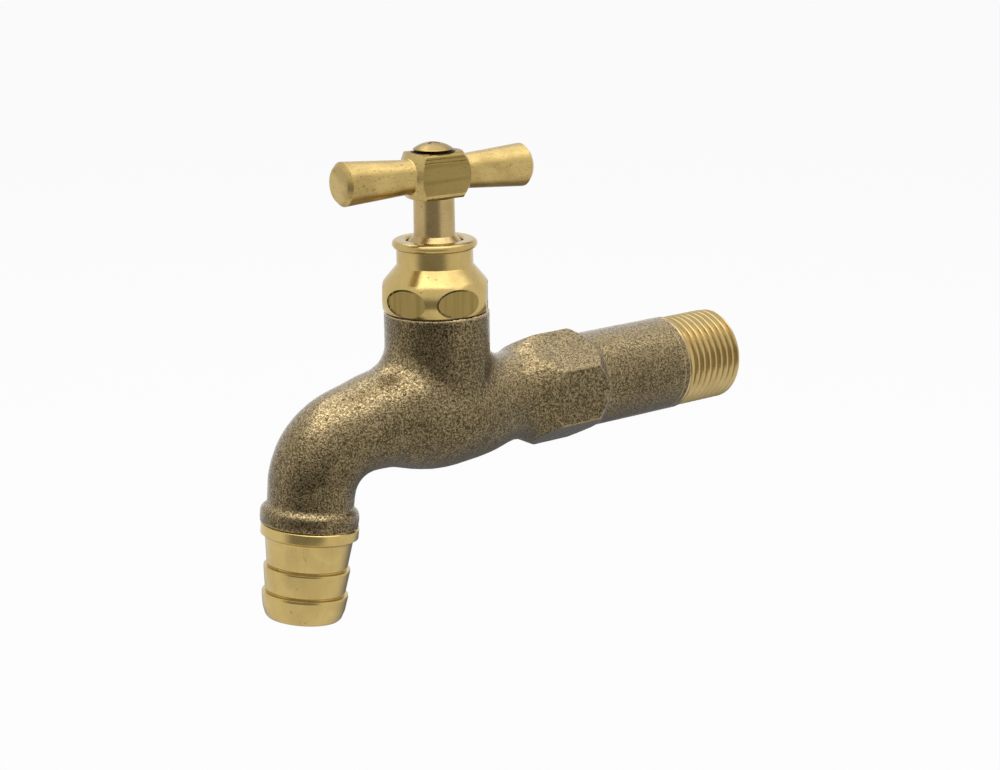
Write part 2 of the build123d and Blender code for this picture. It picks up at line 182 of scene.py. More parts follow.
class TapColours(bpy.types.PropertyGroup):
    """Colours of the tap's finishes."""

    cast_dark: tint(
        "Cast brass, hollows", "Colour between the grains of the cast skin", (0.052, 0.039, 0.019))
    cast_light: tint("Cast brass, grains", "Colour of the grains of the cast skin", (0.52, 0.395, 0.208))
    # Painted shade: dark colour that stands in for the shade in the cast skin's pits
    cast_pit_shade: tint("Cast brass, pits", "Colour in the pits of the cast skin", (0.03, 0.022, 0.012))
    cast_worn: tint(
        "Cast brass, edges", "Colour of edges where the cast skin is rubbed bright", (0.62, 0.47, 0.24))
    bright: tint("Bright brass", "Colour of the turned and milled brass", (0.53, 0.392, 0.148))
    thread: tint("Thread brass", "Colour of the cut pipe thread", (0.50, 0.375, 0.165))
    stem: tint("Stem brass", "Colour of the stem and the parts on it", (0.47, 0.345, 0.155))
    screw: tint("Screw brass", "Colour of the domed screw on the hub", (0.33, 0.24, 0.09))
    milled: tint(
        "Milled brass", "Duller colour of the wrench flats and the hub's drawn faces", (0.25, 0.18, 0.056))
    tarnish: tint("Tarnish", "Colour of specks and handling marks on bright brass", (0.24, 0.15, 0.05))
    nozzle: tint("Nozzle brass", "Cleaner colour of the hose nozzle", (0.555, 0.412, 0.155))
    # Painted shade: dark colour painted round the screw's foot and along the milled pockets' upper rims,
    # where shade falls
    painted_shade: tint("Grime", "Colour of the dark oxide left in corners", (0.03, 0.018, 0.008))
    rubber: tint("Rubber", "Colour of the washer and the rings", (0.018, 0.018, 0.02))
    bloom: tint("Rubber, bloom", "Pale bloom on the washer and the rings", (0.06, 0.06, 0.06))
    fibre: tint("Fibre", "Colour of the fibre ring under the bonnet", (0.035, 0.02, 0.012))
    strands: tint("Fibre, strands", "Paler strands of the fibre ring", (0.09, 0.05, 0.03))


class Value:
    """A socket of a material, on which arithmetic adds Math nodes."""

    def __init__(self, finish, socket):
        self.finish = finish
        self.socket = socket

    def math(self, operation, *others):
        """One Math node with this value as its first input."""
        inputs = dict(enumerate((self, *others)))
        return self.finish.node("ShaderNodeMath", {"operation": operation}, inputs)

    def __add__(self, other):
        return self.math("ADD", other)

    def __sub__(self, other):
        return self.math("SUBTRACT", other)

    def __rsub__(self, other):
        return self.finish.node("ShaderNodeMath", {"operation": "SUBTRACT"}, {0: other, 1: self})

    def __mul__(self, other):
        return self.math("MULTIPLY", other)

    def __truediv__(self, other):
        return self.math("DIVIDE", other)

    __radd__ = __add__
    __rmul__ = __mul__

    def above(self, low, high):
        """0 up to low, 1 from high, with a smooth step between."""
        settings = {"interpolation_type": "SMOOTHSTEP"}
        inputs = {"Value": self, "From Min": low, "From Max": high}
        return self.finish.node("ShaderNodeMapRange", settings, inputs)


class Finish:
    """A procedural material built from Object coordinates in millimetres."""

    def __init__(self, name):
        self.material = bpy.data.materials.new(name)
        self.material.use_nodes = True
        self.tree = self.material.node_tree
        self.shader = self.tree.nodes["Principled BSDF"]
        coordinates = self.node("ShaderNodeTexCoord", {}, {}, "Object")
        self.place = self.scaled(coordinates, (1 / MM, 1 / MM, 1 / MM))

    def node(self, kind, settings, inputs, output=0):
        """Add a node, set its settings, then its inputs, and return one of its outputs."""
        made = self.tree.nodes.new(kind)
        for key, value in settings.items():
            setattr(made, key, value)
        for key, value in inputs.items():
            if isinstance(value, Value):
                self.tree.links.new(value.socket, made.inputs[key])
            else:
                made.inputs[key].default_value = value
        return Value(self, made.outputs[output])

    def scaled(self, vector, factors):
        """A vector multiplied by a factor on each axis."""
        return self.node("ShaderNodeVectorMath", {"operation": "MULTIPLY"}, {0: vector, 1: factors})

    def turned_to(self, origin, turn):
        """Object coordinates measured from a point in mm and turned by angles in radians."""
        inputs = {"Vector": self.place, "Location": origin, "Rotation": turn}
        return self.node("ShaderNodeMapping", {"vector_type": "TEXTURE"}, inputs)

    def parts_of(self, vector):
        """The X, Y and Z of a vector."""
        split = self.node("ShaderNodeSeparateXYZ", {}, {0: vector}).socket.node
        return [Value(self, output) for output in split.outputs]

    def length_of(self, vector):
        """The length of a vector."""
        return self.node("ShaderNodeVectorMath", {"operation": "LENGTH"}, {0: vector}, "Value")

    def noise(self, vector, per_mm, detail=2.0, roughness=0.5, distortion=0.0):
        """Soft noise from 0 to 1, with so many bumps to the millimetre."""
        inputs = {"Vector": vector, "Scale": per_mm, "Detail": detail, "Roughness": roughness,
                  "Distortion": distortion}
        return self.node("ShaderNodeTexNoise", {}, inputs)

    def attribute(self, name):
        """A share that the mesh stores on its vertices or faces."""
        return self.node("ShaderNodeAttribute", {"attribute_name": name}, {}, "Fac")

    def mixed(self, share, first, second):
        """A colour between two, by share."""
        inputs = {0: share, 6: opaque(first), 7: opaque(second)}
        return self.node("ShaderNodeMix", {"data_type": "RGBA"}, inputs, 2)

    def bump(self, height_mm):
        """A normal from a height in millimetres."""
        return self.node("ShaderNodeBump", {}, {"Strength": 1.0, "Distance": MM, "Height": height_mm})

    def close(self, **inputs):
        """Set the shader's sockets, by name with spaces as underscores."""
        for name, value in inputs.items():
            socket = self.shader.inputs[name.replace("_", " ")]
            if isinstance(value, Value):
                self.tree.links.new(value.socket, socket)
            else:
                socket.default_value = value
        return self.material


def opaque(colour):
    """A colour property or tuple with alpha 1, or a Value as it is."""
    if isinstance(colour, Value):
        return colour
    return (*colour, 1.0)


def brass_marks(finish, along, around, colours, colour, wear=0.0):
    """Base colour, roughness and height of bright brass turned about an axis, and worn by 0 to 1."""
    lathe = finish.noise(along, 5.0, 3.0, 0.6)
    patches = finish.noise(finish.place, 0.16, 3.0, 0.55, 0.6)
    smears = finish.noise(around, 0.9, 3.0, 0.6)
    fewer = 0.09 * wear
    specks = finish.noise(finish.place, 1.2 + 1.2 * wear, 1.0, 0.4).above(0.755 - fewer, 0.82 - fewer)
    scratches = finish.noise(finish.scaled(finish.place, (0.35, 2.4, 5.0)), 1.3, 2.0, 0.6, 1.2)
    dents = finish.noise(finish.place, 0.45, 2.0, 0.5)
    toned = finish.mixed(patches.above(0.35, 0.70) * (0.22 + 0.2 * wear), colour, colours.tarnish)
    lines = smears.above(0.5, 0.9) * 0.18 + scratches.above(0.54, 0.66) * (0.05 + 0.35 * wear)
    streaked = finish.mixed(lines, toned, colours.tarnish)
    spotted = finish.mixed(specks * 0.75, streaked, colours.tarnish)
    roughness = 0.13 + 0.12 * wear + patches * 0.10 + specks * 0.25 + smears.above(0.4, 0.8) * 0.05
    height = lathe * 0.0035 + dents * 0.02 - specks * 0.02 - scratches * (0.006 + 0.012 * wear)
    return spotted, roughness, height


def cast_brass(colours, sizes):
    """Sand-cast skin where the skin attribute is 1, turned brass where it is 0."""
    finish = Finish("cast_brass")
    place = finish.place
    per_mm = MM / sizes.grain
    skin = finish.attribute("skin")
    ridge = finish.attribute("ridge")
    upward = finish.attribute("upward")
    sand = finish.noise(place, per_mm, 3.0, 0.6)
    fine = finish.noise(place, per_mm * 2.2, 2.0, 0.6)
    settings, inputs = {"feature": "F1"}, {"Vector": place, "Scale": per_mm * 1.2}
    grit = finish.node("ShaderNodeTexVoronoi", settings, inputs, "Distance")
    clouds = finish.noise(place, 0.11, 3.0, 0.6, 0.4)
    pits = finish.noise(place, per_mm * 0.55, 1.0, 0.5).above(0.60, 0.70)
    grains = (sand * 0.55 + fine * 0.45).above(0.435, 0.595)
    # Painted light: faces turned upwards get more grain colour and a lighter base, as if lit from overhead
    share = grains * (0.25 + clouds * 0.42 + upward * 0.3) + upward * 0.2
    cast = finish.mixed(share, colours.cast_dark, colours.cast_light)
    # Painted shade in the pits of the cast skin, which the bump alone leaves unshaded
    pit_shaded = finish.mixed(pits * 0.6, cast, colours.cast_pit_shade)
    worn = finish.mixed(ridge * 0.6, pit_shaded, colours.cast_worn)
    along = finish.scaled(place, (1.0, 0.02, 0.02))
    around = finish.scaled(place, (0.2, 1.0, 1.0))
    turned, turned_roughness, turned_height = brass_marks(finish, along, around, colours, colours.thread)
    base = finish.mixed(skin, turned, worn)
    roughness = (1 - skin) * turned_roughness + skin * (0.155 - grains * 0.04 - ridge * 0.02)
    relief = sand.above(0.40, 0.60) * 0.022 - grit.above(0.08, 0.45) * 0.020 + fine * 0.01 - pits * 0.05
    height = skin * relief + (1 - skin) * turned_height
    return finish.close(Base_Color=base, Metallic=1.0, Roughness=roughness, Normal=finish.bump(height))


def bright_brass(name, colours, colour, wear=0.0, origin=(VALVE_X, 0, 0), turn=(0, 0, 0), screw_shadowed=False):
    """Turned brass whose axis is the local Z of a frame at origin, in mm, turned by turn.

    Brass shadowed by the screw has a painted shadow round the foot of the handle's screw; other brass has
    painted shade where its mesh stores it.
    """
    finish = Finish(name)
    local = finish.turned_to(origin, turn)
    along = finish.scaled(local, (0.02, 0.02, 1.0))
    around = finish.scaled(local, (1.0, 1.0, 0.12))
    base, roughness, height = brass_marks(finish, along, around, colours, colour, wear)
    milled = finish.attribute("milled")
    bands = finish.noise(finish.scaled(local, (1.0, 1.0, 0.04)), 0.9, 1.0).above(0.48, 0.66)
    dulled = finish.mixed(milled * (0.8 + bands * 0.2), base, colours.milled)
    if screw_shadowed:
        painted_shade = screw_shadow(finish)
    else:
        painted_shade = finish.attribute("painted_shade") * finish.noise(finish.place, 1.6, 2.0, 0.6).above(0.25, 0.5)
    # Painted shade: dark colour round the screw's foot or along the pockets' upper rims
    shadow_painted = finish.mixed(painted_shade * 0.92, dulled, colours.painted_shade)
    rough = roughness + milled * 0.1 + painted_shade * 0.3
    return finish.close(Base_Color=shadow_painted, Metallic=1.0, Roughness=rough, Normal=finish.bump(height))


def screw_shadow(finish):
    """Share of the ragged ring of painted shadow on the hub's top, round the screw."""
    round_screw = finish.turned_to((VALVE_X, 0, HUB_TOP), (0, 0, 0))
    reach = finish.length_of(finish.scaled(round_screw, (1.0, 1.0, 0.0)))
    on_top = finish.parts_of(round_screw)[2].above(-0.4, -0.1)
    ragged = finish.noise(finish.place, 0.9, 2.0, 0.6) * 0.9
    return (1 - (reach + ragged).above(HUB_SHADOW_R, HUB_SHADOW_R + 0.35)) * on_top


def moulded_rubber(colours):
    """Black rubber with a pale bloom."""
    finish = Finish("moulded_rubber")
    bloom = finish.noise(finish.place, 0.7, 3.0, 0.6)
    grain = finish.noise(finish.place, 6.0, 2.0, 0.6)
    base = finish.mixed(bloom.above(0.4, 0.8) * 0.35, colours.rubber, colours.bloom)
    roughness = 0.55 + bloom * 0.2
    return finish.close(Base_Color=base, Roughness=roughness, Normal=finish.bump(grain * 0.01))


def pressed_fibre(colours):
    """Dark vulcanised fibre with paler strands."""
    finish = Finish("pressed_fibre")
    strands = finish.noise(finish.scaled(finish.place, (1.0, 1.0, 4.0)), 3.0, 3.0, 0.7)
    base = finish.mixed(strands.above(0.35, 0.7), colours.fibre, colours.strands)
    return finish.close(Base_Color=base, Roughness=0.7 + strands * 0.2, Normal=finish.bump(strands * 0.03))


def rounded(corners):
    """A closed outline of (radius, height) points; a corner's third number rounds it."""
    outline = []
    for index, (across, up, rounding) in enumerate(corners):
        corner = Vector((across, up))
        before = Vector(corners[index - 1][:2]) - corner
        after = Vector(corners[(index + 1) % len(corners)][:2]) - corner
        half = before.angle(after) / 2
        if rounding == 0 or half > radians(89):
            outline.append(corner)
            continue
        reach = min(rounding / tan(half), 0.48 * before.length, 0.48 * after.length)
        radius = reach * tan(half)
        centre = corner + (before.normalized() + after.normalized()).normalized() * radius / sin(half)
        start = corner + before.normalized() * reach - centre
        sweep = (corner + after.normalized() * reach - centre).angle_signed(start)
        steps = max(2, round(abs(sweep) / radians(7)))
        for step in range(steps + 1):
            outline.append(centre + start @ Matrix.Rotation(-sweep * step / steps, 2))
    return outline


def bulge(start, middle, end, steps=12):
    """Outline corners along the arc through three (radius, height) points, without its end."""
    start, middle, end = Vector(start), Vector(middle), Vector(end)
    second, third = middle - start, end - start
    near, far = second.length_squared, third.length_squared
    twice = 2 * (second.x * third.y - second.y * third.x)
    centre = start + Vector((third.y * near - second.y * far, second.x * far - third.x * near)) / twice
    arm = start - centre
    first = atan2(arm.y, arm.x)
    angles = [atan2(point.y - centre.y, point.x - centre.x) for point in (middle, end)]
    to_middle, to_end = [(angle - first) % (2 * pi) for angle in angles]
    sweep = to_end if to_middle < to_end else to_end - 2 * pi
    turns = [first + sweep * step / steps for step in range(steps)]
    return [(centre.x + arm.length * cos(turn), centre.y + arm.length * sin(turn), 0) for turn in turns]


def spun(corners, steps=ROUND_STEPS):
    """A closed solid turned about Z from an outline of (radius, height, rounding) corners."""
    shape = bmesh.new()
    ring = [shape.verts.new((point.x, 0, point.y)) for point in rounded(corners)]
    edges = [shape.edges.new((ring[index - 1], vert)) for index, vert in enumerate(ring)]
    bmesh.ops.spin(shape, geom=ring + edges, cent=(0, 0, 0), axis=(0, 0, 1), angle=2 * pi,
                   steps=steps, use_merge=True, use_duplicate=False)
    return tidied(shape)


def tidied(shape, gap=0.0005):
    """Merge doubles, drop empty faces and turn every face outwards."""
    bmesh.ops.remove_doubles(shape, verts=shape.verts, dist=gap)
    bmesh.ops.dissolve_degenerate(shape, edges=shape.edges, dist=gap / 5)
    bmesh.ops.recalc_face_normals(shape, faces=shape.faces)
    return shape


def block(low, high, chamfer=0.0, along=0):
    """A block between two corners, its edges along one axis chamfered."""
    shape = bmesh.new()
    bmesh.ops.create_cube(shape, size=1.0)
    size = Vector(high) - Vector(low)
    middle = (Vector(high) + Vector(low)) / 2
    moved(shape, Matrix.Translation(middle) @ Matrix.Diagonal((*size, 1)))
    if chamfer:
        edges = [edge for edge in shape.edges if abs((edge.verts[0].co - edge.verts[1].co)[along]) > 1e-6]
        bmesh.ops.bevel(shape, geom=edges, offset=chamfer, offset_type="OFFSET", affect="EDGES",
                        segments=1, profile=0.5, material=-1)
    return shape


def rod(radius, low, high, steps=96):
    """A plain cylinder on Z."""
    return spun([(0, low, 0), (radius, low, 0), (radius, high, 0), (0, high, 0)], steps)


def moved(shape, matrix):
    """The same bmesh, carried by a matrix."""
    bmesh.ops.transform(shape, matrix=matrix, verts=shape.verts)
    return shape


def as_object(name, shape):
    """A new object in the scene from a bmesh, which is used up."""
    mesh = bpy.data.meshes.new(name)
    shape.to_mesh(mesh)
    shape.free()
    made = bpy.data.objects.new(name, mesh)
    bpy.context.scene.collection.objects.link(made)
    return made


def evaluated(piece):
    """The bmesh of an object with its modifiers applied. The object is removed."""
    graph = bpy.context.evaluated_depsgraph_get()
    mesh = bpy.data.meshes.new_from_object(piece.evaluated_get(graph))
    shape = bmesh.new()
    shape.from_mesh(mesh)
    bpy.data.meshes.remove(mesh)
    bpy.data.meshes.remove(piece.data)
    return shape


def carved(shape, tool, operation="DIFFERENCE"):
    """One closed bmesh cut by, cut down to, or joined with another."""
    cutter = as_object("cutter", tool)
    blank = as_object("blank", shape)
    step = blank.modifiers.new("cut", "BOOLEAN")
    step.operation = operation
    step.solver = "EXACT"
    step.object = cutter
    result = evaluated(blank)
    bpy.data.meshes.remove(cutter.data)
    return tidied(result)


def turns_sharply(edge, limit):
    """Whether the two faces at an edge meet at more than limit degrees."""
    return len(edge.link_faces) == 2 and edge.calc_face_angle() > radians(limit)


def broken_edges(shape, width, limit=28.0):
    """Bevel the edges sharper than limit degrees, as a file or tumbling leaves them."""
    sharp = [edge for edge in shape.edges if turns_sharply(edge, limit)]
    bmesh.ops.bevel(shape, geom=sharp, offset=width, offset_type="OFFSET", affect="EDGES", segments=2,
                    profile=0.5, material=-1, clamp_overlap=True)
    return tidied(shape)


def finished(name, shape, body, material, replaces=(), crease=32.0):
    """Turn a bmesh in millimetres into a piece that rides on a body and stands for CAD nodes."""
    bmesh.ops.scale(shape, vec=(MM, MM, MM), verts=shape.verts)
    for face in shape.faces:
        face.smooth = True
    for edge in shape.edges:
        if turns_sharply(edge, crease):
            edge.smooth = False
    piece = as_object(name, shape)
    piece.data.materials.append(material)
    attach(piece, body)
    if replaces:
        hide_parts(*replaces)
    return piece


def dress(name, material):
    """Give a CAD node that stays in view a finish of its own."""
    node = frame["nodes"][name]
    node.data.materials.clear()
    node.data.materials.append(material)


def marked(shape, skin):
    """Store how much each vertex is cast skin, a worn ridge and turned upwards, the last for painted light
    on the casting's tops.
    """
    skin_layer = shape.verts.layers.float.new("skin")
    ridge_layer = shape.verts.layers.float.new("ridge")
    upward_layer = shape.verts.layers.float.new("upward")
    for vert in shape.verts:
        vert[skin_layer] = skin(vert.co)
        arms = [(edge.other_vert(vert).co - vert.co).normalized() for edge in vert.link_edges]
        bend = sum(arm.dot(vert.normal) for arm in arms)
        vert[ridge_layer] = min(1.0, max(0.0, -bend / len(arms) * 6.0 - 0.42))
        vert[upward_layer] = max(0.0, vert.normal.z)


def mark_milled(shape, is_milled):
    """Store 1 on the flat faces of a bmesh that were milled or drawn."""
    layer = shape.faces.layers.float.new("milled")
    for face in shape.faces:
        face[layer] = float(is_milled(face.calc_center_median(), face.normal))


def line_pockets(shape):
    """Inset the milled flats, and store on their rims a share of painted shade, strongest above and to one
    side.
    """
    milled = shape.faces.layers.float["milled"]
    painted_shade = shape.faces.layers.float.new("painted_shade")
    fans = [face for face in shape.faces if face[milled] > 0.5]
    for flat in bmesh.ops.dissolve_faces(shape, faces=fans, use_verts=False)["region"]:
        flat[milled] = 1.0
        middle, outwards = flat.calc_center_median(), flat.normal.copy()
        corner = (outwards.cross(Vector((0, 0, 1))) + Vector((0, 0, 0.8))).normalized()
        inset = bmesh.ops.inset_individual(shape, faces=[flat], thickness=POCKET_RIM, use_even_offset=True)
        for face in inset["faces"]:
            face[milled] = 1.0
            # Painted shade on the rim, strongest above and to one side of the flat
            face[painted_shade] = max(0.0, (face.calc_center_median() - middle).normalized().dot(corner)) ** 0.5


def cast_lift(place):
    """Height of the casting's low bumps at a place, from -1 to 1."""
    return noise.noise(place / 2.6) * 0.6 + noise.noise(place / 1.1) * 0.4


def cut_off(shape, place, outwards):
    """Take away what lies beyond a plane, and leave the shape open there."""
    geometry = shape.verts[:] + shape.edges[:] + shape.faces[:]
    bmesh.ops.bisect_plane(shape, geom=geometry, dist=1e-5, plane_co=place, plane_no=outwards,
                           clear_outer=True)


def bridge_rims(shape):
    """Join the two open rims of a shape, and turn every face outwards."""
    rims = [edge for edge in shape.edges if edge.is_boundary]
    bmesh.ops.bridge_loops(shape, edges=rims)
    bmesh.ops.recalc_face_normals(shape, faces=shape.faces)
    shape.normal_update()


def follow_frame(shape, source):
    """Draw the smoothed skin back towards the frame's surface, so that worn edges stay crisp."""
    tree = BVHTree.FromPolygons([vert.co / MM for vert in source.data.vertices],
                                [tuple(face.vertices) for face in source.data.polygons])
    for vert in shape.verts:
        place = tree.find_nearest(vert.co, 0.5)[0]
        if place is not None:
            vert.co = vert.co.lerp(place, FOLLOWED_SHARE)


def sharpen_shoulder(shape):
    """Sharpen the step where the hexagon's far end comes down to the round barrel."""
    for vert in shape.verts:
        across = hypot(vert.co.y, vert.co.z)
        line = VALVE_X + HEX_END + HEX_END_LEAN * vert.co.z
        beyond = vert.co.x - line
        if across < BARREL_R - 1 or not -0.75 < beyond < 2.5:
            continue
        if beyond < -0.26:
            wanted = max(across, BARREL_R + 0.2)
        else:
            wanted = min(across, BARREL_R)
            vert.co.x = max(vert.co.x, line) if beyond > 0.26 else line
        vert.co.y *= wanted / across
        vert.co.z *= wanted / across


def shape_bead(shape):
    """Give the rim round the outlet its upright band and the lit shoulder above it."""
    for vert in shape.verts:
        reach = vert.co - OUTLET
        up = -reach.dot(NOZZLE_DOWN)
        across = reach + NOZZLE_DOWN * up
        if not 0.2 < up < BEAD[-1][0] or not 8.4 < across.length < (11.5 if up < 5 else 10.2):
            continue
        share = min(1.0, (BEAD[-1][0] - up) / 4.0)
        vert.co += BEAD_SHIFT * share
        for (low, first), (high, second) in zip(BEAD, BEAD[1:]):
            if low <= up <= high:
                wanted = first + (second - first) * (up - low) / (high - low)
                vert.co += across * (wanted / across.length - 1) * share


def casting_shape(sizes):
    """The cast body as far as the threaded end, with rounded cast edges and a low relief."""
    source = frame["nodes"]["body"]
    shape = bmesh.new()
    shape.from_mesh(source.data)
    bmesh.ops.scale(shape, vec=(1 / MM, 1 / MM, 1 / MM), verts=shape.verts)
    bmesh.ops.remove_doubles(shape, verts=shape.verts, dist=0.002)
    blank = as_object("blank", shape)
    step = blank.modifiers.new("skin", "REMESH")
    step.mode = "VOXEL"
    step.voxel_size = sizes.voxel / MM
    shape = evaluated(blank)
    for _ in range(SMOOTHING_PASSES):
        bmesh.ops.smooth_vert(shape, verts=shape.verts, factor=0.5,
                              use_axis_x=True, use_axis_y=True, use_axis_z=True)
    follow_frame(shape, source)
    sharpen_shoulder(shape)
    shape_bead(shape)
    cut = INLET_END - THREAD_PIECE
    cut_off(shape, (cut, 0, 0), (1, 0, 0))
    bridge_rims(shape)
    marked(shape, lambda place: 1.0)
    relief = sizes.cast_relief / MM
    shifts = []
    for vert in shape.verts:
        to_outlet = abs((vert.co - OUTLET).dot(NOZZLE_DOWN))
        to_faces = min(abs(vert.co.z - NECK_TOP), to_outlet, cut - vert.co.x)
        fade = min(1.0, max(0.0, to_faces / RELIEF_FADE))
        shifts.append(vert.normal * cast_lift(vert.co) * relief * fade)
    for vert, shift in zip(shape.verts, shifts):
        vert.co += shift
    return shape


def thread_radius(place_x, turn, pitch):
    """Radius of the threaded end at a place along X and an angle about it."""
    from_end = INLET_END - place_x
    phase = (place_x / pitch + turn / (2 * pi)) % 1.0
    flank = abs(phase - 0.5) * 2
    tooth = min(1.0, max(0.0, (flank - 0.2) / 0.7))
    tooth = tooth * tooth * (3 - 2 * tooth) * 0.35 + tooth * 0.65
    edge = THREAD_LENGTH + 0.7 * cos(turn - radians(165)) + 0.12 * sin(5 * turn)
    edge -= 1.1 * exp(-((turn - radians(76)) / 0.28) ** 2)
    runout = max(0.0, from_end - edge + 1.2) * 0.4
    groove = THREAD_CREST - THREAD_DEPTH * tooth + runout
    turned = THREAD_CREST + max(0.0, from_end - edge) * 0.55
    chamfer = THREAD_CREST - THREAD_DEPTH * 0.85 + from_end * 1.1
    machined = min(groove, turned, chamfer)
    fade = min(1.0, max(0.0, (THREAD_PIECE - from_end) / RELIEF_FADE))
    cast = BARREL_R + 0.02 * fade * noise.noise(Vector((place_x, 9 * cos(turn), 9 * sin(turn))) / 1.3)
    return min(machined, cast)


def thread_shape(sizes):
    """The blank of the threaded end: a profile row swept by one turn of a screw, open at both ends."""
    pitch = sizes.thread_pitch / MM
    step = pitch / THREAD_POINTS
    shape = bmesh.new()
    start = INLET_END - THREAD_PIECE - 2 * pitch
    count = THREAD_POINTS * (int(THREAD_PIECE / pitch) + 4)
    row = [shape.verts.new((start + step * index, 0, BARREL_R)) for index in range(count + 1)]
    edges = [shape.edges.new(pair) for pair in zip(row, row[1:])]
    bmesh.ops.spin(shape, geom=row + edges, cent=(0, 0, 0), axis=(-1, 0, 0), angle=2 * pi,
                   dvec=(pitch / THREAD_STEPS, 0, 0), steps=THREAD_STEPS,
                   use_merge=False, use_duplicate=False)
    bmesh.ops.remove_doubles(shape, verts=shape.verts, dist=step / 20)
    for side, outwards in ((INLET_END - THREAD_PIECE, -1), (INLET_END, 1)):
        cut_off(shape, (side, 0, 0), (outwards, 0, 0))
    for side in (INLET_END - THREAD_PIECE, INLET_END):
        rim = [edge for edge in shape.edges if edge.is_boundary and abs(edge.verts[0].co.x - side) < 1e-4]
        inner = bmesh.ops.extrude_edge_only(shape, edges=rim)["geom"]
        for vert in (item for item in inner if isinstance(item, bmesh.types.BMVert)):
            across = Vector((vert.co.y, vert.co.z)).normalized() * BORE_R
            vert.co.y, vert.co.z = across
    return shape


def pipe_thread(sizes):
    """The threaded end as a closed pipe with its thread cut and its bore open."""
    shape = thread_shape(sizes)
    for vert in shape.verts:
        if hypot(vert.co.y, vert.co.z) > BORE_R + 0.5:
            turn = atan2(vert.co.z, vert.co.y)
            radius = thread_radius(vert.co.x, turn, sizes.thread_pitch / MM)
            vert.co.y, vert.co.z = radius * cos(turn), radius * sin(turn)
    bridge_rims(shape)
    marked(shape, lambda place: float(hypot(place.y, place.z) > BARREL_R - 0.08))
    return shape


class TAP_OT_casting(bpy.types.Operator):
    """Make the cast body and its threaded end"""

    bl_idname = "tap.casting"
    bl_label = "Cast body and thread"

    def execute(self, context):
        sizes, colours = context.scene.tap_sizes, context.scene.tap_colours
        material = cast_brass(colours, sizes)
        skin, thread = casting_shape(sizes), pipe_thread(sizes)
        finished("casting", skin, "tap_body", material, ("body",), crease=60.0)
        finished("inlet_thread", thread, "tap_body", material, ("body",), crease=50.0)
        return {"FINISHED"}


def bonnet_outline():
    """Outline of the headwork: screwed spigot, bulging band, cone, neck and rolled rim."""
    band = bulge((11.2, SHOULDER), (12.0, 25.5), (11.74, 27.4), 14)
    band += bulge((11.74, 27.4), (11.2, 28.7), CONE_TOP, 10)
    rim = bulge((8.2, RIM_TOP - 1.95), (9.1, RIM_TOP - 1.12), (8.0, RIM_TOP), 14)
    return [
        (BONNET_SPIGOT_R, SHOULDER, 0), *band, (*CONE_TOP, 0), (8.2, 32.4, 0.2), *rim, (8.0, RIM_TOP, 0.3),
        (6.45, RIM_TOP, 0.15), (6.1, RIM_TOP - 0.35, 0.1), (6.1, RIM_TOP - 1.2, 0),
        (BONNET_BORE_R, RIM_TOP - 1.3, 0), (BONNET_BORE_R, BONNET_BORE_START, 0),
        (STEM_THREAD_R + 0.05, BONNET_BORE_START, 0), (STEM_THREAD_R + 0.05, BONNET_FOOT, 0.1),
        (BONNET_SPIGOT_R - 0.7, BONNET_FOOT, 0.1), (BONNET_SPIGOT_R, BONNET_FOOT + 0.7, 0.1),
    ]


def on_wrench_flat(middle, normal):
    """Whether a face lies in one of the bonnet's flats."""
    return abs(middle.dot(normal) - FLAT_REACH) < 0.02 and abs(normal.z) < 0.01


def bonnet_shape():
    """The headwork with its flats milled as shallow pockets with round ends."""
    shape = spun(bonnet_outline())
    for index in range(FLAT_COUNT):
        cutter = rod(FLAT_HALF_WIDTH, 0, 4)
        bmesh.ops.scale(cutter, vec=(FLAT_SLIMNESS, 1, 1), verts=cutter.verts)
        place = (Matrix.Rotation(radians(FLAT_TURN + 360 / FLAT_COUNT * index), 4, "Z")
                 @ Matrix.Translation((FLAT_REACH, 0.1, FLAT_MIDDLE)) @ Matrix.Rotation(radians(90), 4, "Y"))
        shape = carved(shape, moved(cutter, place))
    mark_milled(shape, on_wrench_flat)
    line_pockets(shape)
    return moved(shape, Matrix.Translation((VALVE_X, 0, 0)))


class TAP_OT_bonnet(bpy.types.Operator):
    """Make the headwork with its six wrench flats"""

    bl_idname = "tap.bonnet"
    bl_label = "Bonnet"

    def execute(self, context):
        colours = context.scene.tap_colours
        material = bright_brass("bonnet_brass", colours, colours.bright, wear=0.25)
        finished("headwork", bonnet_shape(), "tap_body", material, ("bonnet",), crease=9.0)
        return {"FINISHED"}


def stem_outline():
    """Outline of the rising stem up to the underside of the hub."""
    foot = STEM_LOW + CLEARANCE
    corners = [
        (2.95, foot, 0), (5.1, foot, 0), (5.6, STEM_LOW + 0.5, 0), (5.6, 12.0, 0.1), (6.3, 12.0, 0),
        (STEM_THREAD_R, 12.6, 0.1), (STEM_THREAD_R, 21.2, 0.1), (6.3, 21.8, 0), (STEM_COLLAR_R, 21.8, 0),
    ]
    for height in RING_HEIGHTS:
        corners += [(STEM_COLLAR_R, height - 0.9, 0.05), (RING_GROOVE_R, height - 0.9, 0.05),
                    (RING_GROOVE_R, height + 0.9, 0.05), (STEM_COLLAR_R, height + 0.9, 0.05)]
    corners += [(STEM_COLLAR_R, 37.2, 0.12), (4.42, 38.75, 0.15), (4.37, HUB_BOTTOM, 0), (0, HUB_BOTTOM, 0),
                (0, STEM_LOW + 9, 0), (2.95, STEM_LOW + 9, 0)]
    return corners


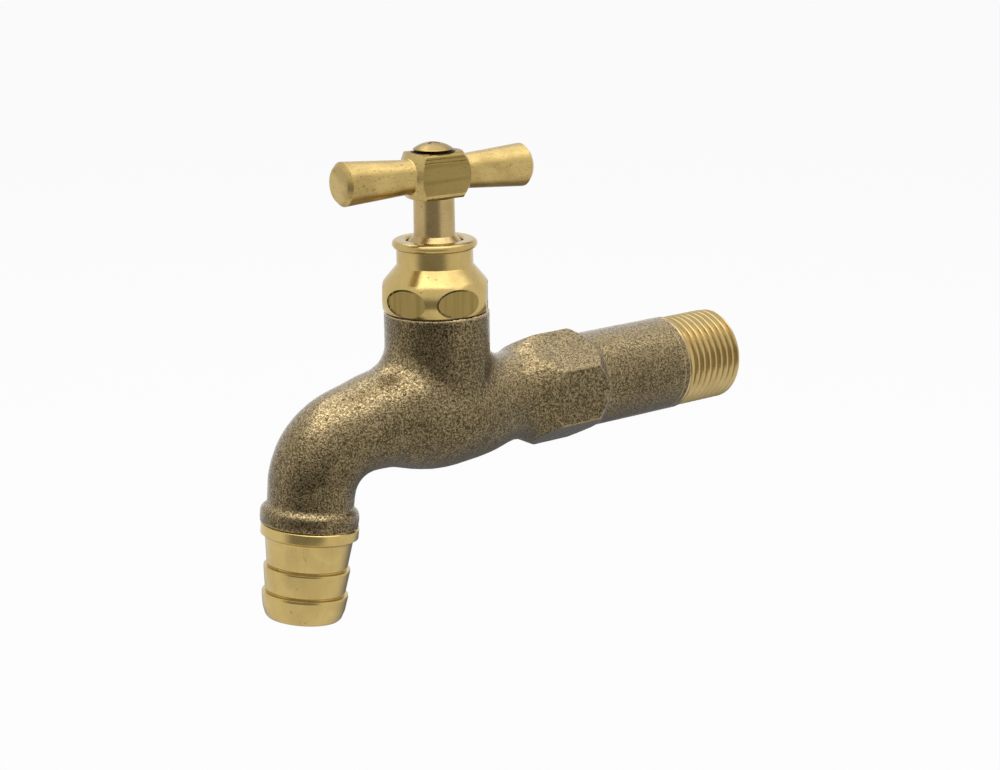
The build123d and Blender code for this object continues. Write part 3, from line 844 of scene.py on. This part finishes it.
def stem_shape():
    """The rising stem with its square drive and the screw's tapped hole."""
    drive = block((-DRIVE_HALF, -DRIVE_HALF, HUB_BOTTOM - 1), (DRIVE_HALF, DRIVE_HALF, DRIVE_TOP), 0.4, 2)
    drive = moved(drive, Matrix.Rotation(radians(BAR_TURN), 4, "Z"))
    shape = carved(spun(stem_outline()), drive, "UNION")
    shape = carved(shape, rod(2.05, SCREW_TIP, DRIVE_TOP + 1))
    return moved(shape, Matrix.Translation((VALVE_X, 0, 0)))


class TAP_OT_stem(bpy.types.Operator):
    """Make the rising stem"""

    bl_idname = "tap.stem"
    bl_label = "Stem"

    def execute(self, context):
        colours = context.scene.tap_colours
        material = bright_brass("stem_brass", colours, colours.stem, wear=0.6)
        finished("spindle_rod", stem_shape(), "spindle", material, ("stem",))
        for name in ("jumper_valve", "washer_nut"):
            dress(name, material)
        return {"FINISHED"}


def bar_outline():
    """Outline of the T-handle's turned bar, from its far tip to its near one: (radius, along, rounding)."""
    corner = HUB_SQUARE / 2 * 2 ** 0.5 + 0.3
    arm = [(3.72, 7.75, 0.5), (4.69, 22.15, 0.15), (3.75, 23.1, 0.2), (0, 23.1, 0)]
    near = [(corner, 4.15, 0), (4.85, 5.5, 0.12), (3.68, 6.2, 0.5), *arm]
    far = [(corner, 3.95, 0), (4.85, 6.4, 0.12), (3.68, 6.95, 0.4), *arm]
    return [(radius, -along, rounding) for radius, along, rounding in reversed(near)] + far


def bar_section():
    """Cross-section of the square bar: chamfered corners and a raised panel on each side."""
    reach = HUB_SQUARE / 2
    side = [
        (reach - 0.55, -reach + 0.1), (reach - 0.1, -reach + 0.55), (reach - 0.1, -3.95),
        (reach - 0.26, -3.88), (reach - 0.12, -3.78), (reach - 0.12, -3.2), (reach - 0.26, -3.1),
        (reach, -2.95), (reach, 3.6), (reach - 0.3, 3.72), (reach - 0.18, reach - 0.5),
    ]
    quarter = Matrix.Rotation(radians(-90), 2)
    corners = []
    for _ in range(4):
        corners += side
        side = [tuple(Vector(point) @ quarter) for point in side]
    return corners


def square_bar(length):
    """The square bar on X, extruded from its cross-section."""
    shape = bmesh.new()
    ring = [shape.verts.new((-length / 2, across, up)) for across, up in bar_section()]
    face = shape.faces.new(ring)
    made = bmesh.ops.extrude_face_region(shape, geom=[face])["geom"]
    far_ring = [item for item in made if isinstance(item, bmesh.types.BMVert)]
    bmesh.ops.translate(shape, vec=(length, 0, 0), verts=far_ring)
    return tidied(shape)


def on_hub_side(middle, normal):
    """Whether a face of the bar lies in one of the hub's flat sides."""
    return abs(middle.x) < 7 and middle.dot(normal) > 4.7 and abs(normal.x) < 0.01


def handle_shape():
    """The T-handle, turned from square bar, with the square hole for the stem's drive."""
    bar = moved(spun(bar_outline()), Matrix.Rotation(radians(90), 4, "Y"))
    shape = carved(bar, square_bar(60), "INTERSECT")
    reach, hole = HUB_SQUARE / 2, DRIVE_HALF + DRIVE_PLAY
    drive_roof = DRIVE_TOP - HUB_CENTRE
    shape = carved(shape, block((-hole, -hole, -reach - 1), (hole, hole, drive_roof)))
    shape = carved(shape, rod(2.2, drive_roof - 1, reach + 1))
    shape = broken_edges(shape, 0.07)
    mark_milled(shape, on_hub_side)
    turn = Matrix.Rotation(radians(BAR_TURN), 4, "Z")
    return moved(shape, Matrix.Translation((VALVE_X, 0, HUB_CENTRE)) @ turn)


def screw_shape():
    """Domed screw with a cross recess and a plain shank."""
    crown = HUB_TOP + SCREW_CROWN
    dome = bulge((SCREW_HEAD_R, HUB_TOP + 0.6), (2.37, HUB_TOP + 1.66), (0, crown), 14)
    shape = spun([
        (0, SCREW_TIP, 0), (1.7, SCREW_TIP, 0), (2.0, SCREW_TIP + 0.3, 0), (2.0, HUB_TOP, 0),
        (3.3, HUB_TOP, 0), (3.45, HUB_TOP + 0.4, 0.05), (SCREW_HEAD_R - 0.15, HUB_TOP + 0.48, 0.1),
        *dome, (0, crown, 0),
    ])
    for quarter in range(2):
        slot = block((-1.75, -0.36, crown - 1), (1.75, 0.36, crown + 1))
        shape = carved(shape, moved(slot, Matrix.Rotation(radians(SCREW_TURN + 90 * quarter), 4, "Z")))
    return moved(broken_edges(shape, 0.06, 35.0), Matrix.Translation((VALVE_X, 0, 0)))


class TAP_OT_handle(bpy.types.Operator):
    """Make the T-handle and its screw"""

    bl_idname = "tap.handle"
    bl_label = "T-handle and screw"

    def execute(self, context):
        colours = context.scene.tap_colours
        centre, turn = (VALVE_X, 0, HUB_CENTRE), (0, radians(90), radians(BAR_TURN))
        bar = bright_brass("handle_brass", colours, colours.bright, 1.0, centre, turn, screw_shadowed=True)
        finished("tee_handle", handle_shape(), "spindle", bar, ("handle",), crease=24.0)
        dull = bright_brass("screw_brass", colours, colours.screw, wear=0.8)
        shape = screw_shape()
        finished("domed_screw", shape, "spindle", dull, ("handle_screw",), crease=30.0)
        return {"FINISHED"}


def nozzle_outline():
    """Outline of the hose nozzle, measured down its axis from the top of its flange."""
    return [
        (6.2, 7.0, 0.1), (7.4, 7.0, 0), (7.9, 6.5, 0), (7.9, 0, 0), (10.08, 0, 0), (10.32, -0.22, 0.1),
        (10.32, -2.2, 0.12), (9.5, -2.75, 0.1), (9.36, -2.75, 0.1), (9.25, -3.1, 0.2), (8.55, -8.5, 0.05),
        (8.38, -8.65, 0.05), (8.38, -8.9, 0), (9.1, -9.02, 0.08), (9.14, -9.4, 0.2), (8.5, -14.05, 0.05),
        (8.35, -14.2, 0.05), (8.35, -14.45, 0), (9.08, -14.57, 0.08), (9.12, -15.1, 0.3), (8.7, -17.9, 1.2),
        (8.1, -19.6, 0.9), (7.55, -20.15, 0.3), (6.5, -20.15, 0.2), (6.2, -19.85, 0.1),
    ]


def nozzle_matrix():
    """Carries Z onto the nozzle's upward axis, with the top of its flange at the outlet."""
    turn = Vector((0, 0, 1)).rotation_difference(-NOZZLE_DOWN).to_matrix().to_4x4()
    return Matrix.Translation(OUTLET) @ turn


class TAP_OT_nozzle(bpy.types.Operator):
    """Make the barbed hose nozzle"""

    bl_idname = "tap.nozzle"
    bl_label = "Hose nozzle"

    def execute(self, context):
        colours = context.scene.tap_colours
        matrix = nozzle_matrix()
        centre, turn = matrix.translation, matrix.to_euler()
        clean = bright_brass("nozzle_brass", colours, colours.nozzle, origin=centre, turn=turn)
        shape = moved(spun(nozzle_outline()), matrix)
        finished("barbed_nozzle", shape, "tap_body", clean, ("hose_nozzle",), crease=30.0)
        return {"FINISHED"}


class TAP_OT_seals(bpy.types.Operator):
    """Finish the washer, the rings and the gaskets"""

    bl_idname = "tap.seals"
    bl_label = "Washer, rings and gaskets"

    def execute(self, context):
        colours = context.scene.tap_colours
        rubber = moulded_rubber(colours)
        for name in ("seat_washer", "stem_oring_lower", "stem_oring_upper", "nozzle_gasket"):
            dress(name, rubber)
        dress("bonnet_gasket", pressed_fibre(colours))
        return {"FINISHED"}


def lamp(name, left, right, near, far, radiance):
    """A soft lamp overhead, shining down, with its edges in mm from the tap as the camera sees them."""
    data = bpy.data.lights.new(name, "AREA")
    data.shape = "RECTANGLE"
    data.size, data.size_y = (right - left) * MM, (far - near) * MM
    data.energy = radiance * pi * data.size * data.size_y
    made = bpy.data.objects.new(name, data)
    bpy.context.scene.collection.objects.link(made)
    turn = Matrix.Rotation(radians(CAMERA_AZIMUTH), 3, "Z")
    middle = turn @ Vector(((left + right) / 2, (near + far) / 2, LAMP_HEIGHT))
    made.location = (Vector(STUDIO_CENTRE) + middle) * MM
    made.rotation_euler = turn.to_euler()


def camera_turn():
    """How the camera is turned: round the tap, down towards it, and a little to one side."""
    return (Matrix.Rotation(radians(CAMERA_AZIMUTH), 3, "Z")
            @ Matrix.Rotation(radians(90 - CAMERA_ELEVATION), 3, "X")
            @ Matrix.Rotation(radians(CAMERA_ROLL), 3, "Z"))


def seen_directly(tree):
    """1 for rays from the camera and from shiny or clear surfaces, which see the white background."""
    path = tree.nodes.new("ShaderNodeLightPath")
    total = path.outputs["Is Camera Ray"]
    for name in ("Is Glossy Ray", "Is Transmission Ray"):
        step = tree.nodes.new("ShaderNodeMath")
        step.operation = "MAXIMUM"
        tree.links.new(total, step.inputs[0])
        tree.links.new(path.outputs[name], step.inputs[1])
        total = step.outputs[0]
    return total


def studio_world(strength):
    """A world that is seen white and lights the tap at a plain strength."""
    world = bpy.data.worlds.new("studio")
    bpy.context.scene.world = world
    world.use_nodes = True
    tree = world.node_tree
    background = tree.nodes["Background"]
    background.inputs["Color"].default_value = (1, 1, 1, 1)
    span = tree.nodes.new("ShaderNodeMapRange")
    tree.links.new(seen_directly(tree), span.inputs["Value"])
    span.inputs["To Min"].default_value = strength
    span.inputs["To Max"].default_value = 1.0
    tree.links.new(span.outputs[0], background.inputs["Strength"])


def studio_floor():
    """A plain white floor that is seen white and keeps a soft shadow."""
    shape = bmesh.new()
    bmesh.ops.create_circle(shape, cap_ends=True, segments=96, radius=4.0)
    floor = as_object("floor", moved(shape, Matrix.Translation((0, 0, FLOOR_HEIGHT * MM))))
    material = bpy.data.materials.new("floor_white")
    material.use_nodes = True
    tree = material.node_tree
    plain = tree.nodes["Principled BSDF"]
    plain.inputs["Base Color"].default_value = (0.9, 0.9, 0.9, 1)
    plain.inputs["Roughness"].default_value = 0.9
    glow = tree.nodes.new("ShaderNodeEmission")
    share = tree.nodes.new("ShaderNodeMath")
    share.operation = "MULTIPLY"
    share.inputs[1].default_value = WHITE_SHARE
    mix = tree.nodes.new("ShaderNodeMixShader")
    tree.links.new(seen_directly(tree), share.inputs[0])
    tree.links.new(share.outputs[0], mix.inputs[0])
    tree.links.new(plain.outputs[0], mix.inputs[1])
    tree.links.new(glow.outputs[0], mix.inputs[2])
    tree.links.new(mix.outputs[0], tree.nodes["Material Output"].inputs["Surface"])
    floor.data.materials.append(material)


def seen_in_metal(name, shape, finish, strength):
    """A glowing card that only reflections show, to shade the studio as the tap's metal sees it."""
    card = as_object(name, moved(shape, Matrix.Scale(MM, 4)))
    glow = finish.node("ShaderNodeEmission", {}, {"Strength": strength})
    finish.tree.links.new(glow.socket, finish.tree.nodes["Material Output"].inputs["Surface"])
    finish.tree.nodes.remove(finish.shader)
    card.data.materials.append(finish.material)
    card.visible_camera = False
    card.visible_diffuse = False
    card.visible_shadow = False


def dim_screen(deepest):
    """The dark side of the studio round the camera: a low curved screen, dim in its middle."""
    facing = radians(CAMERA_AZIMUTH + SCREEN_TURN)
    shape = bmesh.new()
    bmesh.ops.create_uvsphere(shape, u_segments=96, v_segments=48, radius=SCREEN_RADIUS)
    moved(shape, Matrix.Translation(STUDIO_CENTRE))
    cut_off(shape, (0, 0, FLOOR_HEIGHT + 1), (0, 0, -1))
    cut_off(shape, (0, 0, STUDIO_CENTRE[2] + SCREEN_TOP), (0, 0, 1))
    finish = Finish("dim_screen")
    local = finish.turned_to(STUDIO_CENTRE, (0, 0, facing))
    away, up = finish.parts_of(local)[1:]
    behind = (away / SCREEN_RADIUS).above(-0.90, -0.62)
    high = up.above(45.0, SCREEN_TOP)
    low = (0 - up).above(100.0, 132.0)
    share = behind.math("MAXIMUM", high.math("MAXIMUM", low))
    seen_in_metal("dim_screen", shape, finish, deepest + share * (1.0 - deepest))


def shadow_card(deepest):
    """A dark card under and behind the tap, which keeps its undersides dark: a painted shadow standing in
    for the shade on the floor beneath the tap, seen only in reflections.
    """
    shape = bmesh.new()
    bmesh.ops.create_circle(shape, cap_ends=True, segments=96, radius=CARD_RADIUS)
    moved(shape, Matrix.Translation((*CARD_CENTRE, FLOOR_HEIGHT + 3)))
    finish = Finish("shadow_card")
    local = finish.turned_to((*CARD_CENTRE, FLOOR_HEIGHT), (0, 0, 0))
    share = finish.length_of(local).above(0.2 * CARD_RADIUS, CARD_RADIUS)
    seen_in_metal("shadow_card", shape, finish, deepest + share * (1.0 - deepest))


class TAP_OT_stage(bpy.types.Operator):
    """Set up the floor, the soft studio light and the camera"""

    bl_idname = "tap.stage"
    bl_label = "Floor, light and camera"

    def execute(self, context):
        scene = context.scene
        scene.view_settings.view_transform = "Standard"
        studio_world(WORLD_STRENGTH)
        studio_floor()
        dim_screen(SCREEN_GLOW)
        shadow_card(CARD_GLOW)
        for name, edges_and_radiance in LAMPS.items():
            lamp(name, *edges_and_radiance)
        data = bpy.data.cameras.new("camera")
        data.lens = CAMERA_LENS
        camera = bpy.data.objects.new("camera", data)
        scene.collection.objects.link(camera)
        camera.location = Vector(CAMERA_PLACE) * MM
        camera.rotation_euler = camera_turn().to_euler()
        scene.camera = camera
        return {"FINISHED"}


class TAP_PT_panel(bpy.types.Panel):
    """The tap's pieces and stage"""

    bl_idname = "TAP_PT_panel"
    bl_label = "Long-body tap"
    bl_space_type = "VIEW_3D"
    bl_region_type = "UI"
    bl_category = "Tap"

    def draw(self, context):
        for group in (context.scene.tap_sizes, context.scene.tap_colours):
            for key in group.bl_rna.properties.keys():
                if key not in ("name", "rna_type"):
                    self.layout.prop(group, key)
        for operator in PIECES:
            self.layout.operator(operator.bl_idname)


PIECES = (
    TAP_OT_casting, TAP_OT_bonnet, TAP_OT_stem, TAP_OT_handle, TAP_OT_nozzle, TAP_OT_seals, TAP_OT_stage,
)
CLASSES = (TapSizes, TapColours, *PIECES, TAP_PT_panel)


def register():
    """Register the classes and give the scene the tap's sizes and colours."""
    for each in CLASSES:
        bpy.utils.register_class(each)
    bpy.types.Scene.tap_sizes = bpy.props.PointerProperty(type=TapSizes)
    bpy.types.Scene.tap_colours = bpy.props.PointerProperty(type=TapColours)


def unregister():
    """Take the sizes, the colours and the classes away again."""
    del bpy.types.Scene.tap_colours
    del bpy.types.Scene.tap_sizes
    for each in reversed(CLASSES):
        bpy.utils.unregister_class(each)


def main():
    register()
    bpy.ops.tap.casting()
    bpy.ops.tap.bonnet()
    bpy.ops.tap.stem()
    bpy.ops.tap.handle()
    bpy.ops.tap.nozzle()
    bpy.ops.tap.seals()
    bpy.ops.tap.stage()


if __name__ == "__main__":
    main()
